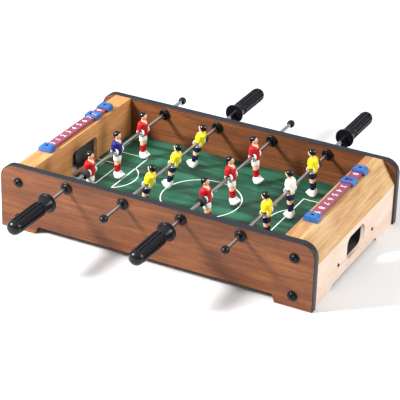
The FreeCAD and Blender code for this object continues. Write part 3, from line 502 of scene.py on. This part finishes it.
def grow(name, rings, sides=48, hollow=False):
    """A piece about its own Z, extruded from ring to ring of (height, half depth, half width, x) in mm.
    A hollow one starts and ends on the same ring."""
    height, depth, width, shift = rings[0]
    bpy.ops.object.select_all(action="DESELECT")
    bpy.ops.mesh.primitive_circle_add(vertices=sides, radius=1.0,
                                      fill_type="NOTHING" if hollow else "NGON")
    piece = bpy.context.object
    piece.name = name
    edit(piece)
    bpy.ops.mesh.select_mode(type="VERT")
    bpy.ops.mesh.select_all(action="SELECT")
    bpy.ops.transform.resize(value=(depth * MM, width * MM, 1), center_override=(0, 0, 0))
    bpy.ops.transform.translate(value=(shift * MM, 0, height * MM))
    for new_height, new_depth, new_width, new_shift in rings[1:]:
        step = ((new_shift - shift) * MM, 0, (new_height - height) * MM)
        bpy.ops.mesh.extrude_region_move(TRANSFORM_OT_translate={"value": step})
        bpy.ops.transform.resize(value=(new_depth / depth, new_width / width, 1),
                                 center_override=(new_shift * MM, 0, new_height * MM))
        height, depth, width, shift = new_height, new_depth, new_width, new_shift
    bpy.ops.mesh.select_all(action="SELECT")
    if hollow:
        bpy.ops.mesh.remove_doubles(threshold=0.001 * MM)
    return close(piece)


def turned(name, outline, sides=48, hollow=False):
    """A turned piece from (height, radius) pairs in mm."""
    return grow(name, [(height, radius, radius, 0.0) for height, radius in outline], sides, hollow)


def copy_of(piece, name):
    """A copy with a mesh of its own."""
    twin = piece.copy()
    twin.data = piece.data.copy()
    twin.name = name
    bpy.context.collection.objects.link(twin)
    return twin


def metal(name, colour, roughness, scratch):
    """Bare or plated metal with a faint run of fine marks; scratch is their spacing in mm."""
    material, tree, shader = new_material(name, Metallic=1.0, Roughness=roughness)
    place = add_node(tree, "TexCoord", {}).outputs["Object"]
    marks = add_node(tree, "TexNoise", {"Vector": place, "Scale": 1 / (scratch * MM), "Detail": 4.0})
    shade = linear(colour)
    duller = [part * 0.8 for part in shade[:3]] + [1.0]
    tone = add_node(tree, "Mix", {"Factor": marks.outputs["Fac"], "A": duller, "B": shade},
                    data_type="RGBA")
    tree.links.new(tone.outputs["Result"], shader.inputs["Base Color"])
    gloss = add_node(tree, "MapRange", {"Value": marks.outputs["Fac"], "To Min": roughness * 0.6,
                                        "To Max": roughness * 1.5})
    tree.links.new(gloss.outputs["Result"], shader.inputs["Roughness"])
    return material


bolt = turned("bolt", [(-SHANK_LENGTH, SHANK_RADIUS - 0.5), (0.5 - SHANK_LENGTH, SHANK_RADIUS),
                       (0.0, SHANK_RADIUS), (0.02, HEAD_RADIUS - 0.3), (0.3, HEAD_RADIUS),
                       (1.0, HEAD_RADIUS - 0.1), (1.9, HEAD_RADIUS - 0.9), (2.6, HEAD_RADIUS - 2.0),
                       (HEAD_TALL, HEAD_RADIUS - 3.2)])
bpy.ops.object.select_all(action="DESELECT")
bpy.ops.mesh.primitive_cylinder_add(vertices=6, radius=SOCKET_RADIUS * MM, depth=2 * SOCKET_DEPTH * MM,
                                    location=(0, 0, HEAD_TALL * MM))
hexagon = bpy.context.object
modify(bolt, "BOOLEAN", operation="DIFFERENCE", object=hexagon, solver="EXACT")
bpy.data.objects.remove(hexagon)
activate(bolt)
bpy.ops.object.shade_smooth_by_angle(angle=math.radians(35))
low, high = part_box("panel_bolts")
washer_low, washer_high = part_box("bolt_washers")
bolts = []
for y, quarter in ((washer_low.y, 90), (washer_high.y, -90)):
    for x in (low.x + HEAD_RADIUS * MM, high.x - HEAD_RADIUS * MM):
        for z in (low.z + HEAD_RADIUS * MM, high.z - HEAD_RADIUS * MM):
            bolts.append(settle(copy_of(bolt, "bolt_copy"), (x, y, z),
                                Matrix.Rotation(math.radians(quarter), 4, "X")))
bpy.data.objects.remove(bolt)
black_oxide = metal("black_oxide_steel", "2B2D33", 0.22, 1.5)
dress(join("panel_bolt_set", bolts), black_oxide, "black_steel", "cabinet", "panel_bolts")
paint_node("bolt_washers", black_oxide)
paint_node("threaded_inserts", metal("turned_brass", "C9A24B", 0.3, 0.8))
paint_node("chute_screws", black_oxide)
paint_node("scorer_screws", black_oxide)

# ------------------------------------------------------------------ rod bearings
# A flanged sleeve of black nylon pushed into each rod hole from outside, and a ring that
# snaps over its inner end.  Both are moulded, with a collar round the rod.
ROD_BORE = 3.15

sleeve = turned("sleeve", [(0.0, ROD_BORE), (0.0, 6.0), (0.02, 8.5), (0.5, 9.0), (1.9, 9.0), (2.5, 8.4),
                           (2.8, 6.6), (3.4, 6.2), (4.0, 5.6), (4.0, 4.7), (3.4, 4.3),
                           (3.0, ROD_BORE), (0.0, ROD_BORE)], hollow=True)
round_edges(sleeve, 0.12 * MM, 2)
snap_ring = turned("snap_ring", [(0.0, ROD_BORE), (0.0, 8.2), (0.5, 8.8), (2.8, 8.8), (3.6, 8.2),
                                 (4.0, 7.2), (4.0, 6.0), (4.0, 5.2), (3.2, 4.4), (3.0, ROD_BORE),
                                 (0.0, ROD_BORE)], hollow=True)
round_edges(snap_ring, 0.12 * MM, 2)
nylon = moulded_plastic("moulded_black_nylon", "0B0C10", 0.3, grain=0.6, shine=0.28)
panel_low, panel_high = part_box("side_panel_front")
back_low, back_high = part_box("side_panel_back")
sleeves, rings = [], []
for number in (1, 2, 3, 4):
    low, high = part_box("rod_%d" % number)
    x, z = (low.x + high.x) / 2, (low.z + high.z) / 2
    for outside, inside, quarter in ((panel_low.y, panel_high.y, 90), (back_high.y, back_low.y, -90)):
        outward = Matrix.Rotation(math.radians(quarter), 4, "X")
        inward = Matrix.Rotation(math.radians(-quarter), 4, "X")
        sleeves.append(settle(copy_of(sleeve, "sleeve_copy"), (x, outside, z), outward))
        rings.append(settle(copy_of(snap_ring, "ring_copy"), (x, inside, z), inward))
bpy.data.objects.remove(sleeve)
bpy.data.objects.remove(snap_ring)
dress(join("bearing_flanges", sleeves), nylon, "black_plastic", "cabinet", "rod_sleeves")
dress(join("bearing_rings", rings), nylon, "black_plastic", "cabinet", "sleeve_rings")

# ------------------------------------------------------------------ rods
# Four solid steel bars, ground and chromium-plated, so they mirror the room with a slight
# blur from the grinding that still shows round them.
chrome = metal("chromium_plated_steel", "BFC1C6", 0.1, 1.2)
for number in (1, 2, 3, 4):
    paint_node("rod_%d" % number, chrome)

# ------------------------------------------------------------------ handles
# Grips moulded in black polypropylene: a broad thin rim towards the table, a waisted neck,
# twelve flutes along the grip, low ripples across them for the hand, and a domed end.
FLUTES = 12
COLUMNS_A_FLUTE = 8
FLOOR_COLUMNS = 4
GRIP_START = 22.0
GRIP_STOP = 85.0
FLUTE_DEPTH = 2.1 * MM
FLUTE_EDGE = 0.3 * MM
RIPPLES = 12
RIPPLE_PITCH = 4.6
RIPPLE_DEPTH = 0.6
GRIP_RADIUS = 11.8
FIRST_CREST = 25.0
grip_ripples = [(FIRST_CREST + RIPPLE_PITCH * half / 2, GRIP_RADIUS - RIPPLE_DEPTH * (half % 2))
                for half in range(2 * RIPPLES + 1)]
GRIP_CORE = 9.0 * MM
HANDLE_OUTLINE = [(0.0, 4.2), (0.0, 14.4), (0.3, 14.9), (0.7, 15.1), (2.0, 15.1), (2.4, 14.9),
                  (2.7, 14.4), (2.8, 12.6), (3.6, 11.9), (7.0, 11.1), (12.0, 10.3), (18.0, 9.7),
                  (20.0, 9.6), (20.6, 10.4), (GRIP_START, 11.4), *grip_ripples, (GRIP_STOP, 11.3),
                  (88.0, 10.9), (90.5, 9.9), (92.6, 8.0), (94.1, 5.5), (94.8, 3.0), (95.0, 1.0)]

# The blue tint in the grips' near-black colour is a painted sheen, standing in for the bluish reflections
# on them.
grip_plastic = moulded_plastic("moulded_black_polypropylene", "0A0D14", 0.3, grain=0.9, bump=0.04,
                               shine=0.28)
handle = turned("handle", HANDLE_OUTLINE, sides=FLUTES * COLUMNS_A_FLUTE)
edit(handle)


def in_flute(middle, normal):
    """True for a face on the grip in the columns that make a flute's floor."""
    on_grip = GRIP_START * MM < middle.z < GRIP_STOP * MM
    turn_in_flute = math.degrees(math.atan2(middle.y, middle.x)) % (360 / FLUTES)
    column = turn_in_flute * FLUTES * COLUMNS_A_FLUTE / 360
    return on_grip and column < FLOOR_COLUMNS and math.hypot(middle.x, middle.y) > GRIP_CORE


def on_rod_end(piece, name, node):
    """A copy of a turned piece where its CAD node is, with its open end towards the table."""
    low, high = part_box(node)
    at_front = high.y < 0
    spot = ((low.x + high.x) / 2, high.y if at_front else low.y, (low.z + high.z) / 2)
    outward = Matrix.Rotation(math.radians(90 if at_front else -90), 4, "X")
    return settle(copy_of(piece, name), spot, outward)


select("FACE", in_flute)
bpy.ops.mesh.inset(thickness=FLUTE_EDGE, use_even_offset=True)
bpy.ops.transform.shrink_fatten(value=-FLUTE_DEPTH)
close(handle)
round_edges(handle, 0.4 * MM, 2, 36.0)
modify(handle, "SUBSURF", levels=1, render_levels=1)
for number in (1, 2, 3, 4):
    grip = on_rod_end(handle, "grip_%d" % number, "handle_%d" % number)
    dress(grip, grip_plastic, "black_plastic", "rod_%d_turn" % number, "handle_%d" % number)
bpy.data.objects.remove(handle)

# ------------------------------------------------------------------ end caps
# A small ball of black polypropylene, moulded with a short collar and pressed on each rod's
# plain end.
cap = turned("cap", [(0.0, 3.1), (0.0, 4.2), (0.8, 5.0), (2.2, 5.9), (4.2, 6.2), (6.4, 6.1), (8.4, 5.4),
                     (10.2, 4.2), (11.4, 2.6), (11.9, 1.2)], sides=40)
modify(cap, "SUBSURF", levels=1, render_levels=1)
bpy.ops.object.shade_smooth_by_angle(angle=math.radians(60))
for number in (1, 2, 3, 4):
    tip = on_rod_end(cap, "ball_cap_%d" % number, "end_cap_%d" % number)
    dress(tip, grip_plastic, "black_plastic", "rod_%d_turn" % number, "end_cap_%d" % number)
bpy.data.objects.remove(cap)

# ------------------------------------------------------------------ bumpers
# A loose ring of black rubber on each rod between the outer figure and the panel, with a
# groove round its middle.  Rubber is matt, a dark grey with a strong random mottle in its tone.
rubber = moulded_plastic("moulded_black_rubber", "26262A", 0.62, grain=0.5, bump=0.06, mottle=0.25)
buffer = turned("buffer", [(0.0, ROD_BORE), (0.0, 6.4), (0.6, 7.1), (1.2, 7.3), (2.9, 7.3), (3.6, 6.5),
                           (4.4, 6.5), (5.1, 7.3), (6.8, 7.3), (7.4, 7.1), (8.0, 6.4),
                           (8.0, ROD_BORE), (4.0, ROD_BORE), (0.0, ROD_BORE)], hollow=True)
round_edges(buffer, 0.2 * MM, 2)
for number in (1, 2, 3, 4):
    low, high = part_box("bumper_%d" % number)
    spot = ((low.x + high.x) / 2, low.y, (low.z + high.z) / 2)
    ring = settle(copy_of(buffer, "rubber_bumper_%d" % number), spot,
                  Matrix.Rotation(math.radians(-90), 4, "X"))
    dress(ring, rubber, "rubber", "rod_%d_travel" % number, "bumper_%d" % number)
bpy.data.objects.remove(buffer)

# ------------------------------------------------------------------ players
# Doll-like players moulded in one piece of polystyrene round the rod and spray-painted
# through masks: a glossy cap of hair, a shirt with folds, shorts, socks and boots.
SKIN, HAIR, SHIRT, SHORTS, SOCKS, BOOTS, COLLAR, EYES = range(8)


def enamel(name, colour, roughness=0.32, mottle=0.1):
    """Sprayed enamel on moulded plastic: glossy, a little uneven, with an orange-peel skin."""
    return moulded_plastic("enamel_" + name, colour, roughness, grain=1.1, bump=0.05, mottle=mottle)


skin_paint = enamel("skin", "F0C29C", 0.42)
hair_paint = enamel("black", "0C0C0E", 0.16)
red_paint = enamel("red", "BA1220", 0.3)
white_paint = enamel("white", "F4F2EE", 0.35, 0.04)
yellow_paint = enamel("yellow", "EBDB14", 0.32)
navy_paint = enamel("navy", "15163F", 0.3)
royal_paint = enamel("royal", "23207A", 0.3)
eye_paint = enamel("brown", "2A1A14", 0.25)


def ball(name, spot, radii, segments=24):
    """A moulded rounded lump: a sphere drawn out to three half sizes, in mm."""
    bpy.ops.object.select_all(action="DESELECT")
    bpy.ops.mesh.primitive_uv_sphere_add(segments=segments, ring_count=segments * 2 // 3, radius=1.0)
    lump = bpy.context.object
    lump.name = name
    return settle(lump, Vector(spot) * MM, Matrix.Diagonal(Vector(radii) * MM).to_4x4())


def paint(piece, part):
    """Paint all of a figure's part with one of the figure's colours."""
    piece.data.materials.clear()
    for colour in (skin_paint, hair_paint, red_paint, white_paint, navy_paint, royal_paint,
                   yellow_paint, eye_paint):
        piece.data.materials.append(colour)
    for face in piece.data.polygons:
        face.material_index = part
    return piece


parts = []

# the head: an egg with a nose, a chin and two ears
head = ball("head", (1.0, 0, 24.9), (5.6, 5.1, 6.3))
edit(head)
select("VERT", lambda at: at.x > 5.7 * MM and abs(at.y) < 1.2 * MM and 22.6 * MM < at.z < 25.2 * MM)
bpy.ops.transform.translate(value=(1.2 * MM, 0, -0.3 * MM), use_proportional_edit=True,
                            proportional_edit_falloff="SHARP", proportional_size=2.0 * MM)
select("VERT", lambda at: at.z < 20.8 * MM and at.x > 2.0 * MM)
bpy.ops.transform.translate(value=(0.6 * MM, 0, 0), use_proportional_edit=True,
                            proportional_edit_falloff="SMOOTH", proportional_size=2.5 * MM)
close(head)
parts.append(paint(head, SKIN))
for side in (-1, 1):
    parts.append(paint(ball("ear", (2.0, side * 5.1, 23.9), (1.2, 0.7, 1.6), 12), SKIN))
    parts.append(paint(ball("eye", (6.05, side * 1.9, 25.6), (0.4, 0.6, 0.45), 12), EYES))

# the hair: a smooth cap over the crown and down to the nape
hair = ball("hair", (0.5, 0, 25.7), (6.1, 5.7, 6.1), 32)
edit(hair)
bpy.ops.mesh.select_all(action="SELECT")
bpy.ops.mesh.bisect(plane_co=(5.2 * MM, 0, 28.3 * MM), plane_no=(-0.80, 0, 0.60), use_fill=True,
                    clear_inner=True)
close(hair)
round_edges(hair, 0.4 * MM, 3, 40.0)
parts.append(paint(hair, HAIR))

# the neck, and the bare V below it
parts.append(paint(grow("neck", [(13.0, 2.6, 2.8, 0.3), (16.0, 3.0, 3.2, 0.3), (18.0, 2.9, 3.1, 0.5),
                                 (21.0, 3.2, 3.4, 0.8)], 20), SKIN))

# the shirt: shoulders, chest and a loose hem, lower in front
shirt = grow("shirt", [(-7.2, 6.0, 6.6, 0.3), (-6.6, 6.8, 7.3, 0.3), (-2.0, 6.9, 7.8, 0.2),
                       (3.0, 7.2, 8.8, 0.1), (7.5, 7.5, 9.6, 0.0), (11.5, 7.5, 10.3, 0.0),
                       (14.3, 6.8, 10.2, 0.0), (16.0, 5.4, 8.2, 0.1), (17.2, 4.0, 5.4, 0.2),
                       (17.8, 3.2, 3.8, 0.3)], 24)
modify(shirt, "SUBSURF", levels=2, render_levels=2)
folds = bpy.data.textures.new("folds", "CLOUDS")
folds.noise_scale = 5.0 * MM
folds.noise_depth = 1
modify(shirt, "DISPLACE", texture=folds, texture_coords="LOCAL", strength=1.3 * MM, mid_level=0.5)
paint(shirt, SHIRT)
for face in shirt.data.polygons:
    middle = face.center / MM
    if middle.x > 0 and middle.z > 12.2 and abs(middle.y) < (middle.z - 11.6) * 0.8:
        face.material_index = SKIN
parts.append(shirt)

# the arms, held against the body, in short sleeves with a rolled edge
for side in (-1, 1):
    sleeve_part = grow("arm", [(3.2, 2.2, 1.2, -1.2), (3.8, 3.6, 2.0, -1.2), (4.6, 4.1, 2.5, -1.2),
                               (8.0, 4.2, 2.6, -0.9), (12.0, 4.1, 2.6, -0.5), (14.6, 3.4, 2.1, -0.2),
                               (15.8, 2.0, 1.2, 0.0)], 16)
    modify(sleeve_part, "SUBSURF", levels=2, render_levels=2)
    modify(sleeve_part, "DISPLACE", texture=folds, texture_coords="LOCAL", strength=0.9 * MM,
           mid_level=0.5)
    tilt = Matrix.Rotation(math.radians(side * 7), 4, "X")
    parts.append(paint(settle(sleeve_part, Vector((0, side * 10.7, 0)) * MM, tilt), SHIRT))

# the shorts, the thighs, the socks with a turned-down cuff
shorts = grow("shorts", [(-16.4, 5.2, 6.4, 0.0), (-16.1, 6.1, 7.3, 0.0), (-12.0, 6.0, 7.3, 0.0),
                         (-6.0, 5.9, 7.0, 0.1), (-3.0, 5.6, 6.6, 0.2)], 24)
modify(shorts, "SUBSURF", levels=2, render_levels=2)
modify(shorts, "DISPLACE", texture=folds, texture_coords="LOCAL", strength=0.8 * MM, mid_level=0.5)
parts.append(paint(shorts, SHORTS))
for side in (-1, 1):
    thigh = grow("thigh", [(-26.0, 3.3, 2.6, 0.0), (-22.0, 3.6, 2.8, 0.1), (-18.0, 4.1, 3.1, 0.2),
                           (-14.0, 4.3, 3.3, 0.0)], 20)
    parts.append(paint(settle(thigh, Vector((0, side * 2.9, 0)) * MM), SKIN))
    sock = grow("sock", [(-37.0, 3.3, 2.6, -0.2), (-32.0, 3.6, 2.8, -0.3), (-28.0, 4.0, 3.0, -0.4),
                         (-25.2, 3.9, 2.9, -0.2), (-25.0, 4.2, 3.2, -0.2), (-23.1, 4.2, 3.2, -0.1),
                         (-22.8, 3.7, 2.9, -0.1)], 20)
    modify(sock, "SUBSURF", levels=1, render_levels=1)
    parts.append(paint(settle(sock, Vector((0, side * 2.9, 0)) * MM), SOCKS))
    # a boot with a raised, pointed toe, a raised heel and a narrow flat sole
    boot = grow("boot", [(-45.8, 4.7, 2.1, 0.5), (-45.4, 5.3, 2.6, 0.6), (-43.4, 6.5, 3.0, 1.5),
                         (-41.2, 8.4, 3.1, 2.4), (-40.0, 8.6, 3.1, 2.4), (-38.6, 7.6, 3.1, 1.5),
                         (-36.8, 5.8, 3.0, 0.3), (-35.2, 4.7, 2.9, -0.1), (-34.6, 4.1, 2.6, -0.1)], 20)
    modify(boot, "SUBSURF", levels=2, render_levels=2)
    parts.append(paint(settle(boot, Vector((0, side * 2.85, 0)) * MM), BOOTS))

# the collars that hold the rod at each side of the waist
for side in (-1, 1):
    collar = turned("collar", [(0.0, 3.12), (0.0, 6.0), (0.5, 6.6), (2.8, 6.6), (3.4, 6.1), (3.4, 5.2),
                               (1.9, 4.8), (1.9, 3.12), (0.0, 3.12)], 40, hollow=True)
    round_edges(collar, 0.25 * MM, 2)
    outward = Matrix.Rotation(math.radians(-90 * side), 4, "X")
    parts.append(paint(settle(collar, Vector((0, side * 6.3, 0)) * MM, outward), COLLAR))

player = join("player", parts)
bpy.ops.object.shade_smooth_by_angle(angle=math.radians(45))

TEAMS = {
    "red_figure": (skin_paint, hair_paint, red_paint, white_paint, red_paint, white_paint,
                   white_paint, eye_paint),
    "yellow_figure": (skin_paint, hair_paint, yellow_paint, navy_paint, navy_paint, white_paint,
                      white_paint, eye_paint),
    "navy_figure": (skin_paint, hair_paint, royal_paint, white_paint, red_paint, white_paint,
                    white_paint, eye_paint),
    "white_figure": (skin_paint, hair_paint, white_paint, navy_paint, navy_paint, white_paint,
                     white_paint, eye_paint)}
KEEPERS = {"figure_1_middle": "navy_figure", "figure_4_middle": "white_figure"}
FACING = {1: 1, 2: -1, 3: 1, 4: -1}
TILT = {1: -2.0, 2: 13.5, 3: -8.0, 4: -4.0}
for number in (1, 2, 3, 4):
    rod_low, rod_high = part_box("rod_%d" % number)
    for place in ("front", "middle", "back"):
        node = "figure_%d_%s" % (number, place)
        low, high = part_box(node)
        spot = ((rod_low.x + rod_high.x) / 2, (low.y + high.y) / 2, (rod_low.z + rod_high.z) / 2)
        lean = Matrix.Rotation(math.radians(TILT[number]), 4, "Y")
        about = Matrix.Rotation(0.0 if FACING[number] > 0 else math.pi, 4, "Z")
        figure = settle(copy_of(player, "player_%d_%s" % (number, place)), spot, lean @ about)
        kit = KEEPERS.get(node, "red_figure" if FACING[number] > 0 else "yellow_figure")
        for index, colour in enumerate(TEAMS[kit]):
            figure.data.materials[index] = colour
        dress(figure, None, kit, "rod_%d_turn" % number, node)
bpy.data.objects.remove(player)

# ------------------------------------------------------------------ scorers
# A T-shaped bar of maroon polystyrene with printed numbers, held at its ends by arched blue
# brackets and carrying a blue slider with a window over the score.
NUMBER_PITCH = 15.4 * MM
NUMBER_SIZE = 12.5 * MM
NUMBER_INK = 0.08 * MM


def softened(name, node, radius, segments=3):
    """A new piece from a CAD node's shape, merged, with its edges rounded as a mould leaves them."""
    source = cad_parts[node]
    piece = bpy.data.objects.new(name, source.data.copy())
    bpy.context.collection.objects.link(piece)
    edit(piece)
    bpy.ops.mesh.select_all(action="SELECT")
    bpy.ops.mesh.remove_doubles(threshold=0.001 * MM)
    bpy.ops.mesh.dissolve_limited(angle_limit=math.radians(1))
    bpy.ops.object.mode_set(mode="OBJECT")
    return round_edges(piece, radius, segments)


maroon = moulded_plastic("moulded_maroon_polystyrene", "873D55", 0.3, grain=0.7)
blue = moulded_plastic("moulded_blue_polystyrene", "2A63A6", 0.28, grain=0.7)
for end, sign in (("left", -1), ("right", 1)):
    bar = softened("number_bar_" + end, "scorer_bar_" + end, 0.3 * MM)
    dress(bar, maroon, "maroon_plastic", "cabinet", "scorer_bar_" + end)
    low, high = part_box("scorer_bar_" + end)
    digits = []
    for score in range(10):
        bpy.ops.object.select_all(action="DESELECT")
        bpy.ops.object.text_add()
        digit = bpy.context.object
        digit.data.body = str(score)
        digit.data.size = NUMBER_SIZE
        digit.data.align_x = "CENTER"
        digit.data.align_y = "CENTER"
        digit.data.extrude = NUMBER_INK / 2
        bpy.ops.object.convert(target="MESH")
        along = -sign * (score - 4.5) * NUMBER_PITCH
        reading = Matrix.Rotation(math.radians(-90 * sign), 4, "Z")
        digits.append(settle(bpy.context.object, ((low.x + high.x) / 2, along, high.z + NUMBER_INK / 2),
                             reading))
    numbers = join("score_numbers_" + end, digits)
    dress(numbers, ink, "maroon_plastic", "cabinet")
    slider = softened("score_pointer_" + end, "scorer_slider_" + end, 0.45 * MM)
    dress(slider, blue, "blue_plastic", "score_" + end, "scorer_slider_" + end)

# a bracket is an arch in side view, with a channel under its inner end for the bar and a round
# recess for its screw's head
BRACKET_LENGTH = 15.5 * MM
BRACKET_ROUND = 5.0 * MM
CHANNEL_SLACK = 0.3 * MM
RECESS_RADIUS = 2.4 * MM
RECESS_DEPTH = 1.2 * MM
low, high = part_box("scorer_brackets")
bar_low, bar_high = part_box("scorer_bar_right")
middle_x = (bar_low.x + bar_high.x) / 2
tall = high.z - low.z
inner = high.y - BRACKET_LENGTH
overlap = bar_high.y - inner + CHANNEL_SLACK
channel_tall = bar_high.z - low.z + CHANNEL_SLACK

bracket = block((2 * (high.x - middle_x), BRACKET_LENGTH, tall), (0, 0, 0))
edit(bracket)
select("EDGE", lambda middle, along: middle.z > tall / 2 and abs(along.y) > 0.9)
bpy.ops.mesh.bevel(offset=BRACKET_ROUND, segments=8, affect="EDGES")
close(bracket)
channel = block((bar_high.x - bar_low.x + 2 * CHANNEL_SLACK, 2 * overlap, 2 * channel_tall),
                (0, -BRACKET_LENGTH / 2, -channel_tall))
bpy.ops.object.select_all(action="DESELECT")
bpy.ops.mesh.primitive_cylinder_add(vertices=32, radius=RECESS_RADIUS, depth=2 * RECESS_DEPTH,
                                    location=(0, 0, tall))
recess = bpy.context.object
for cutter in (channel, recess):
    modify(bracket, "BOOLEAN", operation="DIFFERENCE", object=cutter, solver="EXACT")
    bpy.data.objects.remove(cutter)
round_edges(bracket, 0.4 * MM, 2)
arches = []
for x in (-middle_x, middle_x):
    for side in (-1, 1):
        half_turn = Matrix.Rotation(0.0 if side > 0 else math.pi, 4, "Z")
        spot = (x, side * (inner + BRACKET_LENGTH / 2), low.z)
        arches.append(settle(copy_of(bracket, "arch_copy"), spot, half_turn))
bpy.data.objects.remove(bracket)
dress(join("arched_brackets", arches), blue, "blue_plastic", "cabinet", "scorer_brackets")

# ------------------------------------------------------------------ bounds
low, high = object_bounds()
